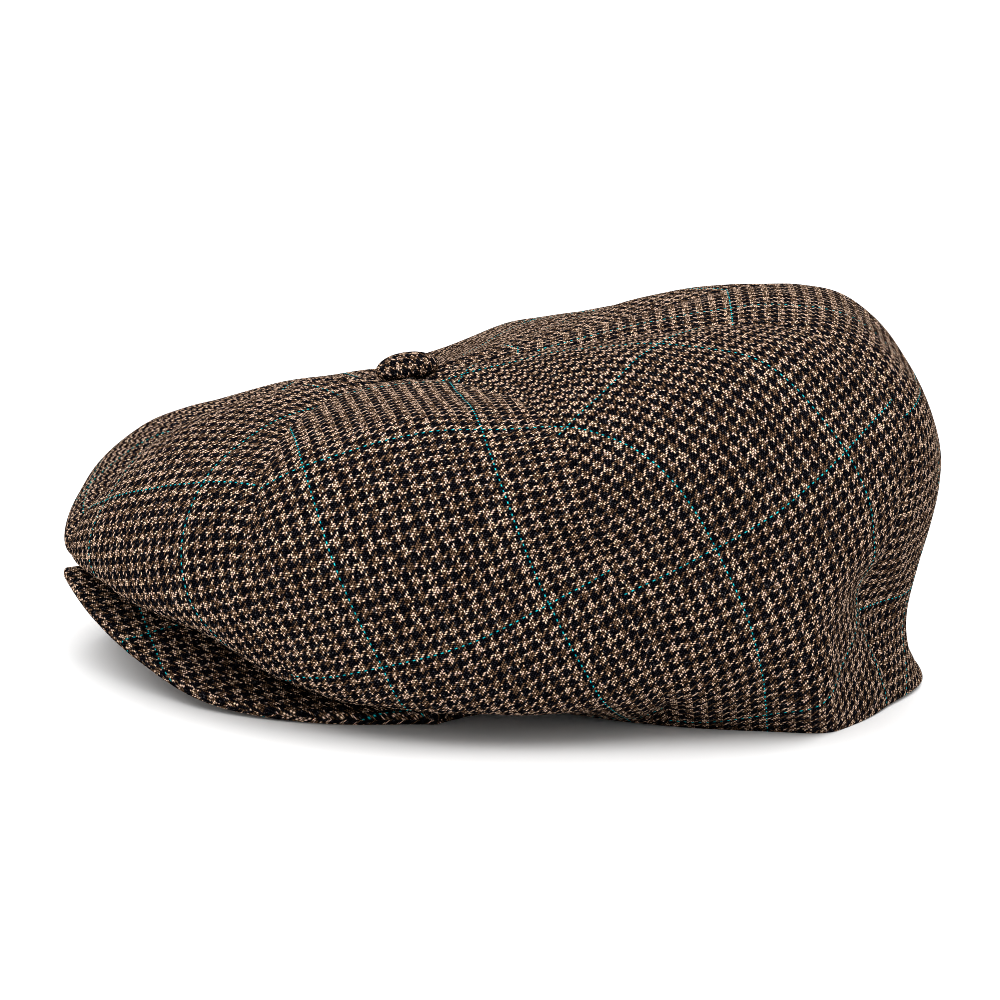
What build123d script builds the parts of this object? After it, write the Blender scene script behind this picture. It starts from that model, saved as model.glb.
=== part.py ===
"""Eight-panel newsboy cap: cloth crown, lined, with a covered button and a stitched visor.

The cap stands on a table as it would be laid down. +Z is up, the visor points along -X and
the wearer's left side is -Y. The crown is described by five seams, centre front to centre
back along the left side. The right side mirrors them, and sags a little lower.
"""
from build123d import *
import math
import os

import numpy as np

# ---- driving dimensions, mm ----
crown_length = 296.0          # front of the crown to its back
crown_width = 254.0           # widest, seam to seam
crown_height = 127.5          # highest seam above the table
right_side_drop = (30.0, 9.0) # how much lower the right side sags, front and back
cloth = 1.2                   # tweed with its seam allowance
lining_gap = 1.0              # air between tweed and lining
lining_cloth = 0.6
button_diameter = 20.5
button_tilt = 12.0            # degrees, back edge up
hub = (-39.5, 0.0, 94.0)      # where the eight points meet, under the button
hub_radius = 7.0              # hole left by the eight points
band_center = 26.5            # head opening: an ellipse, semi-axes below
band_length = 103.0
band_width = 79.0
band_height = 31.0
band_thickness = 1.3
tape_height = 9.0
tape_thickness = 0.6
visor_board_thickness = 2.0
visor_cloth = 1.1

half_length = crown_length / 2
half_width = crown_width / 2

# ---- the five seams, button to hem, as fractions of half length, half width and height ----
seams = [
    [(-0.45, 0.00, 0.712), (-0.65, 0.00, 0.652), (-0.82, 0.00, 0.555), (-0.935, 0.00, 0.418),
     (-0.985, 0.00, 0.298), (-0.94, 0.00, 0.243), (-0.76, 0.00, 0.269), (-0.545, 0.00, 0.280)],
    [(-0.42, -0.13, 0.722), (-0.57, -0.36, 0.686), (-0.66, -0.57, 0.620), (-0.71, -0.69, 0.525),
     (-0.72, -0.75, 0.392), (-0.68, -0.74, 0.235), (-0.56, -0.68, 0.090), (-0.33, -0.47, 0.100)],
    [(-0.19, -0.25, 0.761), (-0.155, -0.54, 0.769), (-0.14, -0.77, 0.745), (-0.115, -0.93, 0.660),
     (-0.07, -0.985, 0.518), (0.01, -0.945, 0.329), (0.11, -0.86, 0.137), (0.19, -0.66, 0.005)],
    [(-0.06, -0.15, 0.828), (0.16, -0.33, 0.908), (0.37, -0.45, 0.962), (0.52, -0.61, 0.930),
     (0.645, -0.70, 0.750), (0.635, -0.72, 0.502), (0.63, -0.61, 0.265), (0.775, -0.44, 0.012)],
    [(0.00, 0.00, 0.838), (0.27, 0.00, 0.932), (0.51, 0.00, 0.999), (0.71, 0.00, 0.995),
     (0.855, 0.00, 0.826), (0.935, 0.00, 0.565), (0.905, 0.00, 0.150), (0.96, 0.00, 0.020)],
]
# outward swell of each panel's middle, mm, button to hem
swell = [
    [0, 1.0, 1.5, 1.5, 1.5, 1.5, 1.5, 1.0, 0],
    [0, 1.0, 2.5, 3.0, 3.0, 3.0, 3.0, 3.0, 0],
    [0, 1.0, 3.0, 4.0, 4.0, 4.0, 4.0, 6.0, 13.0],
    [0, 0.5, 1.0, 0.5, -3.5, -2.5, 0.5, 0.5, 0],
]
panel_names = ["front", "side_front", "side_back", "back"]

# ---- the visor's two edges, centre to corner on the left side, mm ----
visor_seam = [(-80.0, 0.0, 30.5), (-77.0, -20.0, 27.0), (-69.0, -39.0, 19.5),
              (-55.0, -54.0, 11.0), (-39.0, -65.0, 6.1), (-23.0, -73.0, 4.5)]
visor_edge = [(-145.0, 0.0, 27.3), (-139.5, -22.0, 20.5), (-128.0, -43.0, 12.0),
              (-109.5, -65.0, 4.4), (-80.0, -79.0, 2.4), (-44.0, -81.0, 2.3)]
visor_bow = [2.0, 2.0, 2.4, 1.5, 0.8, 0.5]   # how much the visor domes between its edges


def smooth(value):
    """0 to 1 with level ends."""
    value = min(max(value, 0.0), 1.0)
    return value * value * (3 - 2 * value)


def sag(point):
    """Lower a point on the right-hand side, more towards the top and the front."""
    x, y, z = point
    front, back = right_side_drop
    drop = front + (back - front) * smooth((x + 60) / 100)
    height = max(z, 0.0) / crown_height
    return np.array([x, y, z - drop * smooth(y / 55) * height**2.5])


def seam_column(number):
    """The points of one of the eight seams, from the ring under the button to the hem."""
    table = seams[min(number, 8 - number)]
    side = -1 if number > 4 else 1
    points = [np.array([x * half_length, side * y * half_width, z * crown_height])
              for x, y, z in table]
    start = np.array(hub)
    first = points[0] - start
    points.insert(0, start + first * hub_radius / np.linalg.norm(first))
    return [sag(point) for point in points]


def surface_normals(grid):
    """Outward normals of a grid of points that closes round its first index."""
    around = np.roll(grid, -1, axis=0) - np.roll(grid, 1, axis=0)
    down = np.gradient(grid, axis=1)
    normal = np.cross(down, around)
    return normal / np.linalg.norm(normal, axis=2, keepdims=True)


def crown_grid():
    """Sixteen columns round the crown: a seam, the middle of a panel, a seam, and so on."""
    columns = np.array([seam_column(number) for number in range(8)])
    before = np.roll(columns, 1, axis=0)
    after = np.roll(columns, -1, axis=0)
    beyond = np.roll(columns, -2, axis=0)
    middles = (9 * (columns + after) - before - beyond) / 16
    grid = np.empty((16, 9, 3))
    grid[0::2] = columns
    grid[1::2] = middles
    push = surface_normals(grid)
    push[:, -2:, 2] = 0          # near the hem the cloth flares level, not down
    push /= np.linalg.norm(push, axis=2, keepdims=True)
    for number in range(8):
        amount = np.array(swell[min(number, 7 - number)])
        grid[2 * number + 1] += push[2 * number + 1] * amount[:, None]
    return grid


# ---- bicubic patches through a grid of points ----
to_bezier = np.array([[0, 1, 0, 0], [-1 / 6, 1, 1 / 6, 0], [0, 1 / 6, 1, -1 / 6], [0, 0, 1, 0]])


def padded(grid, axis):
    """A grid with one more point past each end, so that its end curves stay open."""
    first = 2 * grid.take([0], axis) - grid.take([1], axis)
    last = 2 * grid.take([-1], axis) - grid.take([-2], axis)
    return np.concatenate([first, grid, last], axis)


def bezier_net(wide, column, row):
    """The 4 by 4 control points of one cell of a grid that is padded both ways."""
    block = wide[column:column + 4, row:row + 4]
    return np.einsum("ic,crx,jr->ijx", to_bezier, block, to_bezier)


def bezier_face(net):
    return Face.make_bezier_surface([[tuple(point) for point in line] for line in net])


def sheet(outer, inner, first, last):
    """A solid between two grids padded both ways, from column first to column last."""
    columns = range(first, last)
    rows = range(outer.shape[1] - 3)
    top_nets = {(c, r): bezier_net(outer, c, r) for c in columns for r in rows}
    low_nets = {(c, r): bezier_net(inner, c, r) for c in columns for r in rows}
    faces = [bezier_face(net) for net in (*top_nets.values(), *low_nets.values())]
    for c in columns:
        for r, edge in ((rows[0], 0), (rows[-1], 3)):
            faces.append(bezier_face([top_nets[c, r][:, edge], low_nets[c, r][:, edge]]))
    for r in rows:
        for c, edge in ((first, 0), (last - 1, 3)):
            faces.append(bezier_face([top_nets[c, r][edge], low_nets[c, r][edge]]))
    return Solid(Shell(faces))


def wrapped(grid):
    """A closed grid with its last column before the first, and the first two after the last."""
    closed = np.concatenate([grid[-1:], grid, grid[:2]], axis=0)
    return padded(closed, 1)


def crown_panels(grid, depth, thickness, kind):
    """Eight panels of cloth at a depth under the crown's outer face, as {name: solid}."""
    normal = surface_normals(grid)
    outer = wrapped(grid - normal * depth)
    inner = wrapped(grid - normal * (depth + thickness))
    panels = {}
    for number in range(8):
        side = "left" if number < 4 else "right"
        name = f"{kind}_{panel_names[min(number, 7 - number)]}_{side}"
        panels[name] = sheet(outer, inner, 2 * number, 2 * number + 2)
    return panels


def ring(grid, spread, bottom, top, thickness):
    """A closed band standing inside the hem, spread mm outside the head opening's ellipse."""
    bands = []
    for offset in (spread, spread - thickness):
        columns = []
        for x, y, z in grid[:, -1]:
            angle = math.atan2(y * band_length, (x - band_center) * band_width)
            place_x = band_center + (band_length + offset) * math.cos(angle)
            place_y = (band_width + offset) * math.sin(angle)
            columns.append([(place_x, place_y, z + bottom), (place_x, place_y, z + top)])
        bands.append(wrapped(np.array(columns)))
    halves = [sheet(bands[0], bands[1], first, first + 8) for first in (0, 8)]
    return halves[0] + halves[1]


def visor_grid():
    """Points over the visor's middle surface, from its seam to its edge, left to right."""
    columns = []
    for seam, edge, bow in zip(visor_seam, visor_edge, visor_bow):
        seam, edge = np.array(seam), np.array(edge)
        steps = [step / 4 for step in range(5)]
        columns.append([seam + (edge - seam) * step + np.array([0, 0, bow * 4 * step * (1 - step)])
                        for step in steps])
    left = np.array(columns)[::-1]
    right = left[::-1][1:] * np.array([1, -1, 1])
    return np.concatenate([left, right])


def visor():
    """The visor is a sandwich: a stiff board between two cloths, all domed alike."""
    grid = visor_grid()
    normal = np.cross(np.gradient(grid, axis=0), np.gradient(grid, axis=1))
    normal /= np.linalg.norm(normal, axis=2, keepdims=True)
    normal *= np.sign(normal[:, :, 2:3])
    half = visor_board_thickness / 2
    out = half + visor_cloth
    levels = [padded(padded(grid + normal * height, 0), 1) for height in (out, half, -half, -out)]
    names = ["visor_top_cloth", "visor_board", "visor_under_cloth"]
    last = grid.shape[0] - 1
    return {name: sheet(upper, lower, 0, last)
            for name, upper, lower in zip(names, levels, levels[1:])}


def dome(radius, rise, skirt):
    """A button's outer shape: a skirt with rounded shoulders under a shallow dome."""
    profile = Spline((0, skirt + rise), (radius * 0.62, skirt + rise * 0.72), (radius, skirt * 0.6),
                     tangents=[(1, 0), (0.05, -1)])
    turn_under = Line((radius, skirt * 0.6), (radius * 0.93, 0))
    base = Line((radius * 0.93, 0), (0, 0))
    axis = Line((0, 0), (0, skirt + rise))
    face = make_face([profile, turn_under, base, axis])
    return revolve(Plane.XZ * face, Axis.Z)


def button():
    """Covered button: cloth over a metal shell, a back plate with a shank, and a washer."""
    radius = button_diameter / 2
    cover_cloth = 0.9
    shell_wall = 0.5
    shank_length = 6.4
    shell_outer = dome(radius - cover_cloth, 3.4, 1.9)
    shell_inner = dome(radius - cover_cloth - shell_wall, 3.0, 1.8)
    cover = dome(radius, 4.0, 2.2) - shell_outer
    plate = Pos(0, 0, 0.3) * Cylinder(7.9, 0.6)
    shank = Pos(0, 0, -shank_length / 2) * Cylinder(1.6, shank_length)
    eye = Pos(0, 0, -shank_length + 1.2) * Rot(90, 0, 0) * Cylinder(0.7, 4.0)
    washer = Pos(0, 0, -5.8) * (Cylinder(7.5, 0.8) - Cylinder(1.7, 0.8))
    place = Pos(*hub) * Rot(0, -button_tilt, 0) * Pos(0, 0, 1.6)
    return {
        "button_cover": place * cover,
        "button_shell": place * (shell_outer - shell_inner),
        "button_shank": place * (plate + shank - eye),
        "crown_washer": place * washer,
    }


def build():
    grid = crown_grid()
    pieces = crown_panels(grid, 0.0, cloth, "crown")
    pieces.update(crown_panels(grid, cloth + lining_gap, lining_cloth, "lining"))
    pieces["sweatband"] = ring(grid, 0.0, 1.5, band_height, band_thickness)
    pieces["stay_tape"] = ring(grid, tape_thickness + 0.1, 0.8, tape_height, tape_thickness)
    pieces.update(visor())
    pieces.update(button())
    return pieces


def standing(pieces):
    """Move every piece so that the cap stands on z = 0 with its box centred on the origin."""
    boxes = [piece.bounding_box() for piece in pieces.values()]
    low = [min(tuple(box.min)[axis] for box in boxes) for axis in range(3)]
    high = [max(tuple(box.max)[axis] for box in boxes) for axis in range(3)]
    shift = Pos(-(low[0] + high[0]) / 2, -(low[1] + high[1]) / 2, -low[2])
    return {name: shift * piece for name, piece in pieces.items()}


os.makedirs("parts", exist_ok=True)
for name, piece in standing(build()).items():
    export_step(piece, f"parts/{name}.step")
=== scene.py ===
"""Looks of the newsboy cap: tweed crown, visor, button, lining and band, built on the CAD frame."""
import math

import bpy
import numpy as np
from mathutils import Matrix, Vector, noise


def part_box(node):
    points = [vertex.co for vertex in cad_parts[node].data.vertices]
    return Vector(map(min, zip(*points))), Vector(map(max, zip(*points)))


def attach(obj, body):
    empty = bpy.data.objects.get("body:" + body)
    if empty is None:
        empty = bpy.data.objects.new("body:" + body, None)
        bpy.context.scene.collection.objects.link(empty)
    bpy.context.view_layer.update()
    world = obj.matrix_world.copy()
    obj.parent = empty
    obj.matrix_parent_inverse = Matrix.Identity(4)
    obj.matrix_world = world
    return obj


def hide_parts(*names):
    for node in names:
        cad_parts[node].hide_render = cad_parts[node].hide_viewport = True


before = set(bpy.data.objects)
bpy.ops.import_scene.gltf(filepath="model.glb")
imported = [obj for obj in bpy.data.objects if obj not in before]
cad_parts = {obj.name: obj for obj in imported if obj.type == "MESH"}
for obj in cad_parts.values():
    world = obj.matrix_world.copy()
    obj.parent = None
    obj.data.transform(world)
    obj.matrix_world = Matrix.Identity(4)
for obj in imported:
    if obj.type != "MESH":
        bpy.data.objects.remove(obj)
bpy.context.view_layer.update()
MM = 0.001

# ---------------------------------------------------------------------------------------
# The crown's shape: five seams, button to hem, centre front to centre back on the left
# side, as fractions of half length, half width and height. The right side mirrors them.
# ---------------------------------------------------------------------------------------
crown_length = 296.0
crown_width = 254.0
crown_height = 127.5
right_side_drop = (30.0, 9.0)
hub = (-39.5, 0.0, 94.0)
hub_radius = 7.0
cloth = 1.2
lining_gap = 1.0
band_center = 26.5
band_length = 103.0            # head opening: an ellipse's semi-axes
band_width = 79.0
hem_radius = 0.9
hem_clear = 1.8                # from the band's outer face to where the hem is sewn to it
above_floor = 0.02

seams = [
    [(-0.45, 0.00, 0.712), (-0.65, 0.00, 0.652), (-0.82, 0.00, 0.555), (-0.935, 0.00, 0.418),
     (-0.985, 0.00, 0.298), (-0.94, 0.00, 0.243), (-0.76, 0.00, 0.269), (-0.545, 0.00, 0.280)],
    [(-0.42, -0.13, 0.722), (-0.57, -0.36, 0.686), (-0.66, -0.57, 0.620), (-0.71, -0.69, 0.525),
     (-0.72, -0.75, 0.392), (-0.68, -0.74, 0.235), (-0.56, -0.68, 0.090), (-0.33, -0.47, 0.100)],
    [(-0.19, -0.25, 0.761), (-0.155, -0.54, 0.769), (-0.14, -0.77, 0.745), (-0.115, -0.93, 0.660),
     (-0.07, -0.985, 0.518), (0.01, -0.945, 0.329), (0.11, -0.86, 0.137), (0.19, -0.66, 0.005)],
    [(-0.06, -0.15, 0.828), (0.16, -0.33, 0.908), (0.37, -0.45, 0.962), (0.52, -0.61, 0.930),
     (0.645, -0.70, 0.750), (0.635, -0.72, 0.502), (0.63, -0.61, 0.265), (0.775, -0.44, 0.012)],
    [(0.00, 0.00, 0.838), (0.27, 0.00, 0.932), (0.51, 0.00, 0.999), (0.71, 0.00, 0.995),
     (0.855, 0.00, 0.826), (0.935, 0.00, 0.565), (0.905, 0.00, 0.150), (0.96, 0.00, 0.020)],
]
swell = [
    [0, 1.0, 1.5, 1.5, 1.5, 1.5, 1.5, 1.0, 0],
    [0, 1.0, 2.5, 3.0, 3.0, 3.0, 3.0, 3.0, 0],
    [0, 1.0, 3.0, 4.0, 4.0, 4.0, 4.0, 6.0, 13.0],
    [0, 0.5, 1.0, 0.5, -3.5, -2.5, 0.5, 0.5, 0],
]
panel_names = ["front", "side_front", "side_back", "back"]

# Fabric folds: a valley (+) or a ridge (-) along a line of points, as (points, half width,
# depth), all in mm. A line that runs on below the table reaches the hem at full depth.
folds = [
    ([(-60.0, -102.0, 62.0), (-24.0, -120.0, 60.0), (6.0, -126.0, 57.0), (46.0, -119.0, 60.0)],
     17.0, 6.5),
    ([(7.5, -121.0, 48.0), (13.0, -117.0, 36.0), (19.0, -112.0, 22.0)], 6.0, 2.6),
    ([(78.0, -98.0, 50.0), (94.0, -82.0, 39.0), (108.0, -62.0, 28.0)], 9.0, 4.2),
    ([(62.0, -112.0, 34.0), (76.0, -99.0, 2.0), (83.0, -93.0, -25.0)], 11.0, -8.0),
    ([(-24.0, -92.0, 30.0), (-22.0, -78.0, 4.0), (-21.0, -70.0, -20.0)], 8.0, 3.5),
    ([(24.0, -106.0, 26.0), (24.0, -92.0, 4.0), (24.0, -80.0, -20.0)], 6.0, 2.2),
    ([(-112.0, -70.0, 71.0), (-63.0, -88.0, 90.0), (-31.0, -80.0, 95.5)], 12.0, -1.2),
    ([(7.0, -102.0, 103.0), (49.0, -86.0, 117.0), (81.0, -79.0, 117.0)], 14.0, -1.2),
    ([(-104.0, -58.0, 40.0), (-92.0, -74.0, 28.0), (-80.0, -84.0, 15.0)], 8.0, 1.6),
    ([(-96.0, -74.0, 72.0), (-103.0, -82.0, 52.0), (-98.0, -86.0, 32.0)], 9.0, 2.4),
]

# ---- cloth: where the check and the windowpane fall on each panel, in mm ----
yarn = 0.54
pane_across = 98
pane_along = 128
# (across, along, degrees): where the panel was cut from the checked cloth, and how it was turned
cut = {
    "front_left": (42.1, -97.6, 8.0), "side_front_left": (42.5, -90.1, 7.5),
    "side_back_left": (61.9, -85.2, 12.5), "back_left": (12.0, -98.0, 0.0),
    "front_right": (10.8, -97.6, -8.0), "side_front_right": (10.4, -90.1, -7.5),
    "side_back_right": (-9.0, -85.2, -12.5), "back_right": (-12.0, -98.0, 0.0),
    "visor_top": (-14.8, -136.5, 10.5), "visor_under": (9.0, -31.0, 0.0), "button": (21.0, 30.0, 24.0),
}


def smooth(value):
    value = np.clip(value, 0.0, 1.0)
    return value * value * (3 - 2 * value)


def sag(point):
    x, y, z = point
    front, back = right_side_drop
    drop = front + (back - front) * smooth((x + 60) / 100)
    height = max(z, 0.0) / crown_height
    return np.array([x, y, z - drop * smooth(y / 55) * height**2.5])


def seam_column(number):
    table = seams[min(number, 8 - number)]
    side = -1 if number > 4 else 1
    points = [np.array([x * crown_length / 2, side * y * crown_width / 2, z * crown_height])
              for x, y, z in table]
    start = np.array(hub)
    first = points[0] - start
    points.insert(0, start + first * hub_radius / np.linalg.norm(first))
    return [sag(point) for point in points]


def grid_normals(grid):
    around = np.roll(grid, -1, axis=0) - np.roll(grid, 1, axis=0)
    down = np.gradient(grid, axis=1)
    normal = np.cross(down, around)
    return normal / np.linalg.norm(normal, axis=2, keepdims=True)


def crown_grid():
    columns = np.array([seam_column(number) for number in range(8)])
    before = np.roll(columns, 1, axis=0)
    after = np.roll(columns, -1, axis=0)
    beyond = np.roll(columns, -2, axis=0)
    grid = np.empty((16, 9, 3))
    grid[0::2] = columns
    grid[1::2] = (9 * (columns + after) - before - beyond) / 16
    push = grid_normals(grid)
    push[:, -2:, 2] = 0
    push /= np.linalg.norm(push, axis=2, keepdims=True)
    for number in range(8):
        amount = np.array(swell[min(number, 7 - number)])
        grid[2 * number + 1] += push[2 * number + 1] * amount[:, None]
    return grid


def spline_weights(places, count, closed):
    """Catmull-Rom weights of count control points at each place, as a matrix."""
    weights = np.zeros((len(places), count))
    for line, place in enumerate(places):
        cell = int(np.floor(place))
        if not closed:
            cell = min(max(cell, 0), count - 2)
        f = place - cell
        near = [-0.5 * f + f**2 - 0.5 * f**3, 1 - 2.5 * f**2 + 1.5 * f**3,
                0.5 * f + 2 * f**2 - 1.5 * f**3, -0.5 * f**2 + 0.5 * f**3]
        for step, weight in zip((-1, 0, 1, 2), near):
            index = cell + step
            if closed:
                weights[line, index % count] += weight
            elif index < 0:
                weights[line, 0] += 2 * weight
                weights[line, 1] -= weight
            elif index >= count:
                weights[line, count - 1] += 2 * weight
                weights[line, count - 2] -= weight
            else:
                weights[line, index] += weight
    return weights


def surface(grid, across, down):
    """Points of the crown at every pair of across (0 to 16, closed) and down (0 to 8)."""
    left = spline_weights(across, grid.shape[0], True)
    right = spline_weights(down, grid.shape[1], False)
    return np.einsum("ac,crx,dr->adx", left, grid, right)


def surface_normals(grid, across, down):
    step = 0.01
    around = surface(grid, across + step, down) - surface(grid, across - step, down)
    low, high = np.maximum(down - step, 0), np.minimum(down + step, grid.shape[1] - 1)
    along = surface(grid, across, high) - surface(grid, across, low)
    normal = np.cross(along, around)
    return normal / np.linalg.norm(normal, axis=2, keepdims=True)


def noise_field(points, scale, seed):
    """Smooth noise from -1 to 1 at points in mm, with features about scale mm across."""
    offset = Vector((seed * 17.3, seed * 5.1, seed * 9.7))
    flat = points.reshape(-1, 3) / scale
    values = [noise.noise(Vector(point) + offset) for point in flat.tolist()]
    return np.array(values).reshape(points.shape[:-1])


def unit(vectors):
    return vectors / np.linalg.norm(vectors, axis=-1, keepdims=True)


def arc_lengths(points, axis):
    """Distance run along one axis of a grid of points."""
    steps = np.linalg.norm(np.diff(points, axis=axis), axis=2)
    start = np.zeros_like(steps.take([0], axis))
    return np.concatenate([start, np.cumsum(steps, axis=axis)], axis=axis)


def flatten(points, rounds=500, start=None):
    """Lay a curved grid of points flat with as little stretch as it allows, in its units."""
    middle = points.shape[0] // 2
    if start is None:
        width = arc_lengths(points, 0)
        length = arc_lengths(points, 1)
        start = np.stack([width - width[middle:middle + 1],
                          np.broadcast_to(length[middle], width.shape)], axis=2)
    flat = start.copy()
    pairs = []
    for a, b in (((1, 0), (0, 0)), ((0, 1), (0, 0)), ((1, 1), (0, 0)), ((1, 0), (0, 1))):
        reach = (points.shape[0] - max(a[0], b[0]), points.shape[1] - max(a[1], b[1]))
        one = (slice(a[0], a[0] + reach[0]), slice(a[1], a[1] + reach[1]))
        two = (slice(b[0], b[0] + reach[0]), slice(b[1], b[1] + reach[1]))
        pairs.append((one, two, np.linalg.norm(points[one] - points[two], axis=2)))
    for _ in range(rounds):
        move = np.zeros_like(flat)
        count = np.zeros(flat.shape[:2])
        for one, two, rest in pairs:
            gap = flat[one] - flat[two]
            size = np.linalg.norm(gap, axis=2)
            pull = gap * ((size - rest) / np.maximum(size, 1e-9))[:, :, None] * 0.5
            move[one] -= pull
            move[two] += pull
            count[one] += 1
            count[two] += 1
        flat += move / count[:, :, None]
    return flat - [flat[middle, :, 0].mean(), 0]


def resample(coarse, count_a, count_b):
    left = spline_weights(np.linspace(0, coarse.shape[0] - 1, count_a), coarse.shape[0], False)
    right = spline_weights(np.linspace(0, coarse.shape[1] - 1, count_b), coarse.shape[1], False)
    return np.einsum("ac,crx,dr->adx", left, coarse, right)


# ---------------------------------------------------------------------------------------
# Meshes
# ---------------------------------------------------------------------------------------
def grid_mesh(name, points, cloth_mm, closed=False, turn_length=0.0):
    """A smooth mesh of a grid of points in mm, with its flat cloth place as a UV map in mm.

    A closed grid joins its last row to its first, where the cloth has run turn_length on.
    """
    rows, columns = points.shape[:2]
    turns = rows if closed else rows - 1
    a, b = np.meshgrid(np.arange(turns), np.arange(columns - 1), indexing="ij")
    a, b = a.ravel(), b.ravel()
    after = (a + 1) % rows
    faces = np.stack([a * columns + b, a * columns + b + 1, after * columns + b + 1,
                      after * columns + b], axis=1)
    mesh = bpy.data.meshes.new(name)
    mesh.from_pydata((points.reshape(-1, 3) * MM).tolist(), [], faces.tolist())
    layer = mesh.uv_layers.new(name="cloth")
    flat = cloth_mm.reshape(-1, 2)
    if closed:
        loops = []
        for face, turn in zip(faces, a):
            for corner in face:
                place = flat[corner].copy()
                if turn == rows - 1 and corner < columns:
                    place[0] += turn_length
                loops.append(place)
        loops = np.array(loops)
    else:
        loops = flat[faces.ravel()]
    layer.data.foreach_set("uv", loops.astype(np.float32).ravel())
    mesh.polygons.foreach_set("use_smooth", [True] * len(mesh.polygons))
    mesh.update()
    piece = bpy.data.objects.new(name, mesh)
    bpy.context.scene.collection.objects.link(piece)
    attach(piece, "root")
    return piece


def cut_place(name, flat):
    """Where each point of a flattened piece lies in the checked cloth."""
    across, along, angle = cut.get(name, (0.0, 0.0, 0.0))
    c, s = math.cos(math.radians(angle)), math.sin(math.radians(angle))
    return flat @ np.array([[c, s], [-s, c]]) + [across, along]


def place_in_frame(points):
    """Move points from the shape's own mm frame to the CAD frame's mm."""
    return points + frame_shift


def crown_nodes():
    return [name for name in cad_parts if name.startswith("crown_") and
            name != "crown_washer"]


def crown_box():
    boxes = [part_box(name) for name in crown_nodes()]
    low = np.min([np.array(box[0]) for box in boxes], axis=0) / MM
    high = np.max([np.array(box[1]) for box in boxes], axis=0) / MM
    return low, high


def fold_depth(points):
    """How far each point is pressed in by the list of folds, mm."""
    depth = np.zeros(points.shape[:-1])
    for line, width, amount in folds:
        line = np.array(line, float)
        nearest = np.full(points.shape[:-1], 1e9)
        share = np.zeros(points.shape[:-1])
        for number, (start, end) in enumerate(zip(line, line[1:])):
            run = end - start
            along = np.clip(((points - start) @ run) / (run @ run), 0, 1)
            gap = np.linalg.norm(points - (start + along[..., None] * run), axis=-1)
            closer = gap < nearest
            nearest = np.where(closer, gap, nearest)
            share = np.where(closer, (number + along) / (len(line) - 1), share)
        fade = np.clip(np.sin(np.pi * np.clip(share, 0.02, 0.98)), 0, 1) ** 0.5
        depth += amount * fade * np.exp(-(nearest / width) ** 2)
    return depth


def crown_relief(points, seam_gap, run):
    """Height of the cloth over the smooth crown, in mm: seams, puckers and slack."""
    wobble = noise_field(points, 9.0, 1)
    slow = noise_field(points, 40.0, 2)
    middle = noise_field(points, 18.0, 3)
    open_cloth = smooth(seam_gap / 14.0)
    valley = -(0.55 + 0.15 * wobble) * np.exp(-(seam_gap / 1.3) ** 2)
    shoulder = -0.7 * np.exp(-(seam_gap / 6.0) ** 2)
    pucker = 0.22 * wobble * np.exp(-((seam_gap - 4.0) / 4.0) ** 2)
    loose = (1.5 * slow + 0.6 * middle * open_cloth) * smooth(run / 45.0)
    gather = 0.6 * smooth(1 - run / 40.0) * noise_field(points * np.array([1, 1, 0.3]), 7.0, 4)
    return valley + shoulder + pucker + loose + gather


def crown_panel(grid, number, across_count=61, down_count=171):
    across = np.linspace(2 * number, 2 * number + 2, across_count)
    down = np.linspace(-0.2, 8, down_count)
    points = surface(grid, across, down)
    normals = surface_normals(grid, across, np.maximum(down, 0.0))
    coarse = surface(grid, across[::5], down[::5])
    flat = resample(flatten(coarse), across_count, down_count)
    flat[:, :, 1] -= np.interp(0.0, down, flat[across_count // 2, :, 1])
    widths = arc_lengths(points, 0)
    seam_gap = np.minimum(widths, widths[-1:] - widths)
    run = arc_lengths(points, 1)
    to_hem = run[:, -1:] - run
    relief = crown_relief(points, seam_gap, run) * smooth(to_hem / 8.0)
    push = normals * [1, 1, 0] + normals * [0, 0, 1] * smooth(to_hem / 14.0)[:, :, None]
    points = points + normals * relief[:, :, None] - push * fold_depth(points)[:, :, None]
    points[:, :, 2] = np.maximum(points[:, :, 2], 0.05 - frame_shift[2])
    turned, turned_flat = hem_turn(points, normals, flat)
    points = np.concatenate([points, turned], axis=1)
    flat = np.concatenate([flat, turned_flat], axis=1)
    side = "left" if number < 4 else "right"
    name = f"{panel_names[min(number, 7 - number)]}_{side}"
    piece = grid_mesh(f"tweed_{name}", place_in_frame(points), cut_place(name, flat))
    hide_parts(f"crown_{name}")
    piece.data.materials.append(material["tweed"])


def hem_turn(points, normals, flat):
    """The hem folds inwards round a small radius and runs on under the cap to the band."""
    radius = hem_radius
    end, normal = points[:, -1], normals[:, -1]
    along = points[:, -1] - points[:, -3]
    along /= np.linalg.norm(along, axis=1, keepdims=True)
    places, cloth_places = [], []
    for angle in np.linspace(0, math.pi, 7)[1:]:
        places.append(end - normal * radius * (1 - math.cos(angle)) +
                      along * radius * math.sin(angle))
        cloth_places.append(flat[:, -1] + [0, radius * angle])
    turn = np.arctan2(end[:, 1] * band_length, (end[:, 0] - band_center) * band_width)
    band = np.stack([band_center + (band_length + hem_clear) * np.cos(turn),
                     (band_width + hem_clear) * np.sin(turn), end[:, 2] + 2.0], axis=1)
    reach = band - places[-1]
    distance = np.linalg.norm(reach, axis=1)
    folded = places[-1]
    for share in np.linspace(0, 1, 7)[1:]:
        places.append(folded + reach * share + [0, 0, math.sin(math.pi * share)])
        more = np.stack([np.zeros_like(distance), radius * math.pi + distance * share], axis=1)
        cloth_places.append(flat[:, -1] + more)
    places = np.stack(places, axis=1)
    places[:, :, 2] = np.maximum(places[:, :, 2], above_floor - frame_shift[2])
    return places, np.stack(cloth_places, axis=1)


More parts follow.
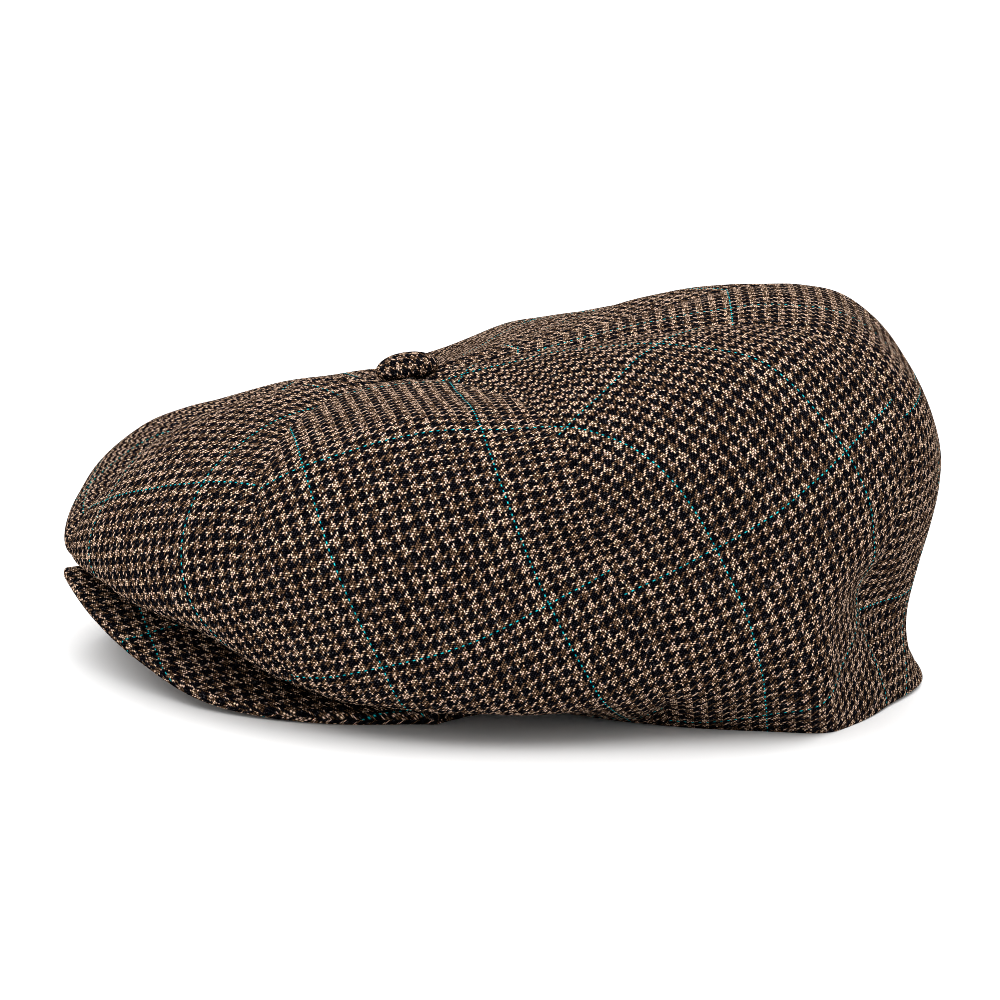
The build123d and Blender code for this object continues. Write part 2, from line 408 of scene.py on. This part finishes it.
# ---------------------------------------------------------------------------------------
# Visor
# ---------------------------------------------------------------------------------------
visor_seam = [(-80.0, 0.0, 30.5), (-77.0, -20.0, 27.0), (-69.0, -39.0, 19.5),
              (-55.0, -54.0, 11.0), (-39.0, -65.0, 6.1), (-23.0, -73.0, 4.5)]
visor_edge = [(-145.0, 0.0, 27.3), (-139.5, -22.0, 20.5), (-128.0, -43.0, 12.0),
              (-109.5, -65.0, 4.4), (-80.0, -79.0, 2.4), (-44.0, -81.0, 2.3)]
visor_bow = [2.0, 2.0, 2.4, 1.5, 0.8, 0.5]
visor_half = 2.1               # board and cloth, from the middle surface out
visor_roll = 1.3               # how far the rolled edge stands out


def visor_grid():
    columns = []
    for seam, edge, bow in zip(visor_seam, visor_edge, visor_bow):
        seam, edge = np.array(seam), np.array(edge)
        steps = [step / 4 for step in range(5)]
        columns.append([seam + (edge - seam) * step + np.array([0, 0, bow * 4 * step * (1 - step)])
                        for step in steps])
    left = np.array(columns)[::-1]
    right = left[::-1][1:] * np.array([1, -1, 1])
    return np.concatenate([left, right])


def visor_pieces():
    """Top and under cloth, which roll round the visor's edge and corners to meet."""
    grid = visor_grid()
    wide, deep, turn = 121, 57, 5
    middle = resample(grid, wide, deep)
    normal = np.cross(np.gradient(middle, axis=0), np.gradient(middle, axis=1))
    normal /= np.linalg.norm(normal, axis=2, keepdims=True)
    normal *= np.sign(normal[:, :, 2:3])
    coarse = middle[::6, ::4]
    plan = np.stack([-coarse[:, :, 1], -coarse[:, :, 0] * 1.08], axis=2)
    flat = resample(flatten(coarse, start=plan), wide, deep)
    edge_gap = arc_lengths(middle, 1)
    edge_gap = edge_gap[:, -1:] - edge_gap
    # one ring of roll: along the edge, then along both corners
    angles = np.linspace(0, math.pi / 2, turn + 1)[1:]
    out_edge = unit(middle[:, -1] - middle[:, -2])
    base = np.concatenate([middle] + [(middle[:, -1] + out_edge * visor_roll * math.sin(angle))[:, None]
                                      for angle in angles], axis=1)
    lift = np.concatenate([np.ones(deep), np.cos(angles)])[None, :].repeat(wide, axis=0)
    lean = np.concatenate([normal] + [normal[:, -1:]] * turn, axis=1)
    flat_out = unit(flat[:, -1] - flat[:, -2])
    place = np.concatenate([flat] + [(flat[:, -1] + flat_out * visor_half * angle)[:, None]
                                     for angle in angles], axis=1)
    calm = np.concatenate([smooth(edge_gap / 6.0)] + [np.zeros((wide, 1))] * turn, axis=1)
    for end, inner in ((0, 1), (-1, -2)):
        out_side = unit(base[end] - base[inner])
        rows = [(base[end] + out_side * visor_roll * math.sin(angle))[None] for angle in angles]
        lifts = [(lift[end] * math.cos(angle))[None] for angle in angles]
        flat_out = unit(place[end] - place[inner])
        places = [(place[end] + flat_out * visor_half * angle)[None] for angle in angles]
        leans = [lean[end][None]] * turn
        calms = [np.zeros((1, deep + turn))] * turn
        parts = [(base, rows), (lift, lifts), (place, places), (lean, leans), (calm, calms)]
        if end == 0:
            base, lift, place, lean, calm = (np.concatenate(more[::-1] + [whole])
                                             for whole, more in parts)
        else:
            base, lift, place, lean, calm = (np.concatenate([whole] + more)
                                             for whole, more in parts)
    for name, side in (("top", 1), ("under", -1)):
        ripple = 0.25 * noise_field(base, 12.0, 11 + side) + 0.12 * noise_field(base, 5.0, 14)
        height = lift * visor_half + ripple * calm
        points = base + lean * side * height[:, :, None]
        points[:, :, 2] = np.maximum(points[:, :, 2], above_floor - frame_shift[2])
        piece = grid_mesh(f"visor_{name}_tweed", place_in_frame(points),
                          cut_place(f"visor_{name}", place))
        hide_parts(f"visor_{name}_cloth")
        piece.data.materials.append(material["tweed"])


# ---------------------------------------------------------------------------------------
# Button
# ---------------------------------------------------------------------------------------
button_tilt = 12.0             # degrees, towards the visor
button_lift = 1.6
button_crimps = 23
button_outline = [(0.0, 5.7), (2.5, 5.6), (5.0, 5.2), (7.2, 4.4), (8.9, 3.25), (9.95, 1.9),
                  (10.2, 0.7), (9.6, -0.3), (7.5, -0.9)]


def button_cover():
    tilt = math.radians(button_tilt)
    rings, spokes = 26, 96
    up = np.array([-math.sin(tilt), 0.0, math.cos(tilt)])
    centre = np.array(hub) + frame_shift + up * button_lift
    angles = np.linspace(0, 2 * math.pi, spokes, endpoint=False)
    profile = resample(np.array(button_outline)[None, :, :].repeat(2, axis=0), 2, rings)[0]
    reach = np.concatenate([[0], np.cumsum(np.linalg.norm(np.diff(profile, axis=0), axis=1))])
    points = np.zeros((spokes, rings, 3))
    flat = np.zeros((spokes, rings, 2))
    for number, angle in enumerate(angles):
        crimp = 0.16 * np.sin(angle * button_crimps) * smooth((reach - 9.0) / 5.0)
        points[number, :, 0] = (profile[:, 0] + crimp) * math.cos(angle)
        points[number, :, 1] = (profile[:, 0] + crimp) * math.sin(angle)
        points[number, :, 2] = profile[:, 1]
        flat[number] = np.stack([reach * math.cos(angle), reach * math.sin(angle)], axis=1)
    lean = np.array([[math.cos(tilt), 0, -math.sin(tilt)], [0, 1, 0],
                     [math.sin(tilt), 0, math.cos(tilt)]])
    places = points @ lean.T + centre
    piece = grid_mesh("button_tweed", places, cut_place("button", flat), closed=True)
    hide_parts("button_cover")
    piece.data.materials.append(material["tweed"])


# ---------------------------------------------------------------------------------------
# Inside: lining and sweatband
# ---------------------------------------------------------------------------------------
def lining_panel(grid, number):
    across = np.linspace(2 * number, 2 * number + 2, 31)
    down = np.linspace(0, 7.7, 91)
    points = surface(grid, across, down)
    normals = surface_normals(grid, across, down)
    widths = arc_lengths(points, 0)
    seam_gap = np.minimum(widths, widths[-1:] - widths)
    relief = 0.7 * noise_field(points, 20.0, 21) + 0.25 * noise_field(points, 7.0, 22)
    relief -= 0.35 * np.exp(-(seam_gap / 2.0) ** 2)
    depth = cloth + lining_gap + 1.4 - np.clip(relief, -1.2, 0.5)
    depth += np.clip(fold_depth(points), 0, None)
    points = points - normals * depth[:, :, None]
    flat = resample(flatten(points[::5, ::5], 200), 31, 91)
    side = "left" if number < 4 else "right"
    name = f"{panel_names[min(number, 7 - number)]}_{side}"
    piece = grid_mesh(f"satin_{name}", place_in_frame(points), flat)
    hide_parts(f"lining_{name}")
    piece.data.materials.append(material["satin"])


def inner_ring(grid, node, name, finish, section, wave):
    """A cloth band round the head opening: section is (inset from its outer face, height)."""
    low, high = (np.array(corner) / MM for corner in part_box(node))
    centre = (low + high) / 2
    half = (high - low) / 2
    spokes = 240
    hem = surface(grid, np.linspace(0, 16, spokes, endpoint=False), np.array([8.0]))[:, 0]
    angles = np.arctan2(hem[:, 1] / half[1], (hem[:, 0] + frame_shift[0] - centre[0]) / half[0])
    across = np.array([step[0] for step in section])
    height = np.array([step[1] for step in section])
    reach = np.concatenate([[0], np.cumsum(np.hypot(np.diff(across), np.diff(height)))])
    points = np.zeros((spokes, len(section), 3))
    for number, angle in enumerate(angles):
        ease = wave * noise.noise(Vector((math.cos(angle) * 4, math.sin(angle) * 4, 7.7)))
        inset = across + ease * smooth(height / 10.0)
        points[number, :, 0] = centre[0] + (half[0] - inset) * math.cos(angle)
        points[number, :, 1] = (half[1] - inset) * math.sin(angle)
        points[number, :, 2] = hem[number, 2] + frame_shift[2] + height
    run = arc_lengths(np.concatenate([points, points[:1]]), 0)[:, len(section) // 2]
    flat = np.stack(np.broadcast_arrays(run[:, None], reach[None, :]), axis=2)
    piece = grid_mesh(name, points, flat[:-1], closed=True, turn_length=run[-1])
    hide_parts(node)
    piece.data.materials.append(material[finish])


def sweatband(grid):
    section = [(0.05, 29.0), (0.1, 30.6), (0.65, 31.0), (1.25, 30.4), (1.35, 28.0), (1.25, 20.0),
               (1.1, 12.0), (1.2, 5.0), (1.25, 2.4), (0.65, 1.6), (0.05, 2.2)]
    inner_ring(grid, "sweatband", "grosgrain_band", "sweatband", section, 0.35)


def stay_tape(grid):
    section = [(0.05, 8.2), (0.1, 8.8), (0.3, 9.0), (0.5, 8.8), (0.55, 8.0), (0.55, 5.0),
               (0.55, 1.8), (0.5, 1.0), (0.3, 0.8), (0.1, 1.0), (0.05, 1.6)]
    inner_ring(grid, "stay_tape", "twill_tape", "tape", section, 0.0)


# ---------------------------------------------------------------------------------------
# Materials
# ---------------------------------------------------------------------------------------
class Nodes:
    """Small helper that builds shader nodes; a link or a number may feed any input."""

    def __init__(self, name):
        self.material = bpy.data.materials.new(name)
        self.material.use_nodes = True
        self.tree = self.material.node_tree
        self.shader = self.tree.nodes["Principled BSDF"]

    def feed(self, socket, value):
        if isinstance(value, bpy.types.NodeSocket):
            self.tree.links.new(value, socket)
        else:
            socket.default_value = value

    def math(self, operation, a, b=None, c=None):
        node = self.tree.nodes.new("ShaderNodeMath")
        node.operation = operation
        for socket, value in zip(node.inputs, (a, b, c)):
            if value is not None:
                self.feed(socket, value)
        return node.outputs[0]

    def mix(self, factor, a, b):
        node = self.tree.nodes.new("ShaderNodeMix")
        node.data_type = "RGBA"
        self.feed(node.inputs["Factor"], factor)
        for socket, value in ((node.inputs[6], a), (node.inputs[7], b)):
            self.feed(socket, (*value, 1.0) if isinstance(value, tuple) else value)
        return node.outputs[2]

    def blend(self, factor, a, b):
        """Plain number mix: a where factor is 0, b where it is 1."""
        return self.math("ADD", a, self.math("MULTIPLY", factor, self.math("SUBTRACT", b, a)))

    def vector(self, x, y, z=0.0):
        node = self.tree.nodes.new("ShaderNodeCombineXYZ")
        for socket, value in zip(node.inputs, (x, y, z)):
            self.feed(socket, value)
        return node.outputs[0]

    def cloth_place(self):
        node = self.tree.nodes.new("ShaderNodeUVMap")
        node.uv_map = "cloth"
        split = self.tree.nodes.new("ShaderNodeSeparateXYZ")
        self.tree.links.new(node.outputs[0], split.inputs[0])
        return node.outputs[0], split.outputs[0], split.outputs[1]

    def noise(self, vector, scale, detail=2.0, roughness=0.5):
        node = self.tree.nodes.new("ShaderNodeTexNoise")
        self.feed(node.inputs["Vector"], vector)
        node.inputs["Scale"].default_value = scale
        node.inputs["Detail"].default_value = detail
        node.inputs["Roughness"].default_value = roughness
        return node.outputs[0]

    def random(self, vector):
        node = self.tree.nodes.new("ShaderNodeTexWhiteNoise")
        node.noise_dimensions = "3D"
        self.feed(node.inputs["Vector"], vector)
        return node.outputs[0]

    def bump(self, height, distance, strength=1.0):
        node = self.tree.nodes.new("ShaderNodeBump")
        node.inputs["Strength"].default_value = strength
        node.inputs["Distance"].default_value = distance
        self.feed(node.inputs["Height"], height)
        self.tree.links.new(node.outputs[0], self.shader.inputs["Normal"])

    def set(self, **values):
        for name, value in values.items():
            self.feed(self.shader.inputs[name.replace("_", " ")], value)


def tweed():
    """Houndstooth: four dark and four light yarns each way in a two-up two-down twill."""
    n = Nodes("tweed")
    place, across, along = n.cloth_place()
    drift = n.noise(place, 0.12, 3.0)
    x = n.math("ADD", n.math("DIVIDE", across, yarn), n.math("MULTIPLY", drift, 0.9))
    y = n.math("ADD", n.math("DIVIDE", along, yarn), n.math("MULTIPLY", drift, -0.7))
    warp, weft = n.math("FLOOR", x), n.math("FLOOR", y)
    twill = n.math("FLOORED_MODULO", n.math("ADD", warp, weft), 4.0)
    over = n.math("LESS_THAN", twill, 2.0)
    warp_dark = n.math("LESS_THAN", n.math("FLOORED_MODULO", warp, 8.0), 4.0)
    weft_dark = n.math("LESS_THAN", n.math("FLOORED_MODULO", weft, 8.0), 4.0)
    dark = n.blend(over, weft_dark, warp_dark)
    warp_teal = n.math("LESS_THAN", n.math("FLOORED_MODULO", warp, float(pane_across)), 1.0)
    weft_teal = n.math("LESS_THAN", n.math("FLOORED_MODULO", weft, float(pane_along)), 1.0)
    teal = n.blend(over, weft_teal, warp_teal)
    # each yarn is round, and dips under its neighbours at both ends of a float
    side_x = n.math("FRACT", x)
    side_y = n.math("FRACT", y)
    side = n.blend(over, side_y, side_x)
    round_yarn = n.math("MULTIPLY", 4.0, n.math("MULTIPLY", side, n.math("SUBTRACT", 1.0, side)))
    run_warp = n.math("DIVIDE", n.math("FLOORED_MODULO", n.math("ADD", warp, y), 4.0), 2.0)
    run_weft = n.math("SUBTRACT", n.math("DIVIDE", n.math("FLOORED_MODULO",
                      n.math("ADD", weft, x), 4.0), 2.0), 1.0)
    run = n.math("FRACT", n.blend(over, run_weft, run_warp))
    crown = n.math("MULTIPLY", 4.0, n.math("MULTIPLY", run, n.math("SUBTRACT", 1.0, run)))
    height = n.math("MULTIPLY", n.math("POWER", round_yarn, 0.5), n.math("POWER", crown, 0.4))
    # heathered colour: every float has its own random tone, and the twist of its plies on the slant is
    # painted shade
    name = n.vector(n.blend(over, n.math("FLOOR", n.math("DIVIDE", x, 2.0)), warp),
                    n.blend(over, weft, n.math("FLOOR", n.math("DIVIDE", y, 2.0))), over)
    shade = n.random(name)
    hair = n.noise(place, 3.2, 2.0, 0.7)
    # painted shade: brightness rises and falls along the twist of the plies, darker in the grooves
    # between them
    ply_groove_shade = n.math("SINE", n.math("MULTIPLY", n.math("ADD", n.math("MULTIPLY", run, 1.6), side),
                                2 * math.pi))
    tan = n.mix(shade, (0.045, 0.023, 0.013), (0.285, 0.170, 0.102))
    hue = n.random(n.vector(warp, weft, 3.0))
    pale = n.mix(hue, (0.86, 0.60, 0.39), (0.68, 0.46, 0.38))
    tan = n.mix(n.math("GREATER_THAN", shade, 0.62), tan, pale)
    navy = n.mix(shade, (0.0012, 0.0012, 0.0026), (0.0110, 0.0100, 0.0130))
    # painted highlight: a few dark floats are given a grey-blue glint colour in place of their own
    navy = n.mix(n.math("GREATER_THAN", hue, 0.93), navy, (0.045, 0.042, 0.046))
    colour = n.mix(dark, tan, navy)
    colour = n.mix(teal, colour, n.mix(shade, (0.004, 0.22, 0.26), (0.02, 0.50, 0.54)))
    # painted shade and painted highlight: the colour is scaled by the yarn's height, near black in the
    # gaps between yarns and brightest on the crown of each float; the hair noise on top is random tone
    depth = n.math("ADD", 0.05, n.math("MULTIPLY", n.math("POWER", height, 3.4), 1.70))
    depth = n.math("MULTIPLY", depth, n.math("ADD", 0.35, n.math("MULTIPLY", hair, 1.3)))
    depth = n.math("MULTIPLY", depth, n.math("ADD", 0.78, n.math("MULTIPLY", ply_groove_shade, 0.28)))
    scale = n.tree.nodes.new("ShaderNodeVectorMath")
    scale.operation = "SCALE"
    n.tree.links.new(colour, scale.inputs[0])
    n.feed(scale.inputs["Scale"], depth)
    n.set(Base_Color=scale.outputs[0], Roughness=0.95, Sheen_Weight=0.0)
    n.shader.inputs["Specular IOR Level"].default_value = 0.0
    n.bump(n.math("ADD", height, n.math("MULTIPLY", hair, 0.6)), 0.00025, 0.9)
    return n.material


def satin():
    n = Nodes("satin")
    place, across, along = n.cloth_place()
    line = n.math("SINE", n.math("MULTIPLY", n.math("ADD", across, along), 14.0))
    slub = n.noise(place, 0.8, 3.0)
    colour = n.mix(slub, (0.012, 0.012, 0.020), (0.030, 0.030, 0.046))
    n.set(Base_Color=colour, Roughness=n.math("ADD", 0.28, n.math("MULTIPLY", slub, 0.15)),
          Sheen_Weight=0.2, Anisotropic=0.5)
    n.bump(n.math("ADD", line, n.math("MULTIPLY", slub, 3.0)), 0.00003)
    return n.material


def grosgrain():
    n = Nodes("grosgrain")
    _, across, along = n.cloth_place()
    rib = n.math("SINE", n.math("MULTIPLY", across, 2 * math.pi / 1.1))
    thread = n.math("SINE", n.math("MULTIPLY", along, 2 * math.pi / 0.35))
    tone = n.random(n.vector(n.math("FLOOR", n.math("DIVIDE", across, 1.1)), 0.0))
    colour = n.mix(tone, (0.010, 0.010, 0.013), (0.020, 0.019, 0.024))
    n.set(Base_Color=colour, Roughness=0.62, Sheen_Weight=0.3)
    n.bump(n.math("ADD", rib, n.math("MULTIPLY", thread, 0.25)), 0.00018)
    return n.material


def twill_tape():
    n = Nodes("tape")
    place, across, along = n.cloth_place()
    rib = n.math("SINE", n.math("MULTIPLY", n.math("ADD", across, along), 2 * math.pi / 0.8))
    wear = n.noise(place, 0.5, 3.0)
    n.set(Base_Color=n.mix(wear, (0.17, 0.155, 0.13), (0.24, 0.22, 0.19)), Roughness=0.85)
    n.bump(rib, 0.0001)
    return n.material


def plain(name, colour, roughness, metallic=0.0, grain=40.0):
    n = Nodes(name)
    coord = n.tree.nodes.new("ShaderNodeTexCoord")
    speck = n.noise(coord.outputs["Object"], grain * 100, 3.0)
    dull = tuple(channel * 0.75 for channel in colour)
    n.set(Base_Color=n.mix(speck, dull, colour), Roughness=roughness, Metallic=metallic)
    n.bump(speck, 0.00005)
    return n.material


# ---------------------------------------------------------------------------------------
# Floor, light and camera
# ---------------------------------------------------------------------------------------
floor_half = 60.0
floor_tone = 0.84
sky_strength = 1.1
sun_strength = 3.7
sun_spread = 95.0              # degrees, wide enough for soft shadows
sun_from = (-0.10, 0.02, 1.0)
view_azimuth = -16.0           # degrees, from the wearer's left side towards the visor
view_elevation = 10.0
view_roll = 4.0
view_target = (-4.3, 0.0, 54.0)
view_distance = 0.905


def studio():
    floor_mesh = bpy.data.meshes.new("floor")
    size = floor_half
    floor_mesh.from_pydata([(-size, -size, 0), (size, -size, 0), (size, size, 0), (-size, size, 0)],
                           [], [(0, 1, 2, 3)])
    floor = bpy.data.objects.new("floor", floor_mesh)
    bpy.context.scene.collection.objects.link(floor)
    n = Nodes("floor")
    n.set(Base_Color=(floor_tone, floor_tone, floor_tone, 1.0), Roughness=1.0)
    n.shader.inputs["Specular IOR Level"].default_value = 0.0
    floor.data.materials.append(n.material)
    world = bpy.data.worlds.new("studio")
    world.use_nodes = True
    background = world.node_tree.nodes["Background"]
    background.inputs["Color"].default_value = (1.0, 1.0, 1.0, 1.0)
    background.inputs["Strength"].default_value = sky_strength
    bpy.context.scene.world = world
    data = bpy.data.lights.new("sky_sun", "SUN")
    data.energy = sun_strength
    data.angle = math.radians(sun_spread)
    lamp = bpy.data.objects.new("sky_sun", data)
    lamp.rotation_euler = Vector(sun_from).to_track_quat("Z", "Y").to_euler()
    bpy.context.scene.collection.objects.link(lamp)


def camera():
    azimuth, elevation, roll = (math.radians(angle)
                                for angle in (view_azimuth, view_elevation, view_roll))
    target = Vector(view_target) * MM
    back = Vector((math.sin(azimuth) * math.cos(elevation), -math.cos(azimuth) * math.cos(elevation),
                   math.sin(elevation)))
    data = bpy.data.cameras.new("camera")
    data.lens = 100.0
    data.sensor_width = 36.0
    data.dof.use_dof = False
    eye = bpy.data.objects.new("camera", data)
    eye.location = target + back * view_distance
    basis = back.to_track_quat("Z", "Y").to_matrix()
    level, upright = basis.col[0].copy(), basis.col[1].copy()
    for row in range(3):
        basis[row][0] = level[row] * math.cos(roll) + upright[row] * math.sin(roll)
        basis[row][1] = upright[row] * math.cos(roll) - level[row] * math.sin(roll)
    eye.rotation_euler = basis.to_euler()
    bpy.context.scene.collection.objects.link(eye)
    bpy.context.scene.camera = eye


# ---------------------------------------------------------------------------------------
# Build
# ---------------------------------------------------------------------------------------
grid = crown_grid()
box_low, box_high = crown_box()
dense = surface(grid, np.linspace(0, 16, 161), np.linspace(0, 8, 81)).reshape(-1, 3)
frame_shift = np.array([(box_low[0] + box_high[0] - dense[:, 0].min() - dense[:, 0].max()) / 2,
                        0.0, box_high[2] - dense[:, 2].max()])

material = {
    "tweed": tweed(),
    "satin": satin(),
    "sweatband": grosgrain(),
    "tape": twill_tape(),
    "board": plain("board", (0.045, 0.045, 0.050), 0.5),
    "metal": plain("metal", (0.62, 0.62, 0.60), 0.35, 1.0),
}
for number in range(8):
    crown_panel(grid, number)
    lining_panel(grid, number)
visor_pieces()
button_cover()
sweatband(grid)
stay_tape(grid)
for node, finish in (("visor_board", "board"), ("button_shell", "metal"),
                     ("button_shank", "metal"), ("crown_washer", "metal")):
    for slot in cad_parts[node].material_slots:
        slot.material = material[finish]
studio()
camera()
scene = bpy.context.scene
scene.view_settings.view_transform = "Standard"
scene.cycles.filter_width = 1.0
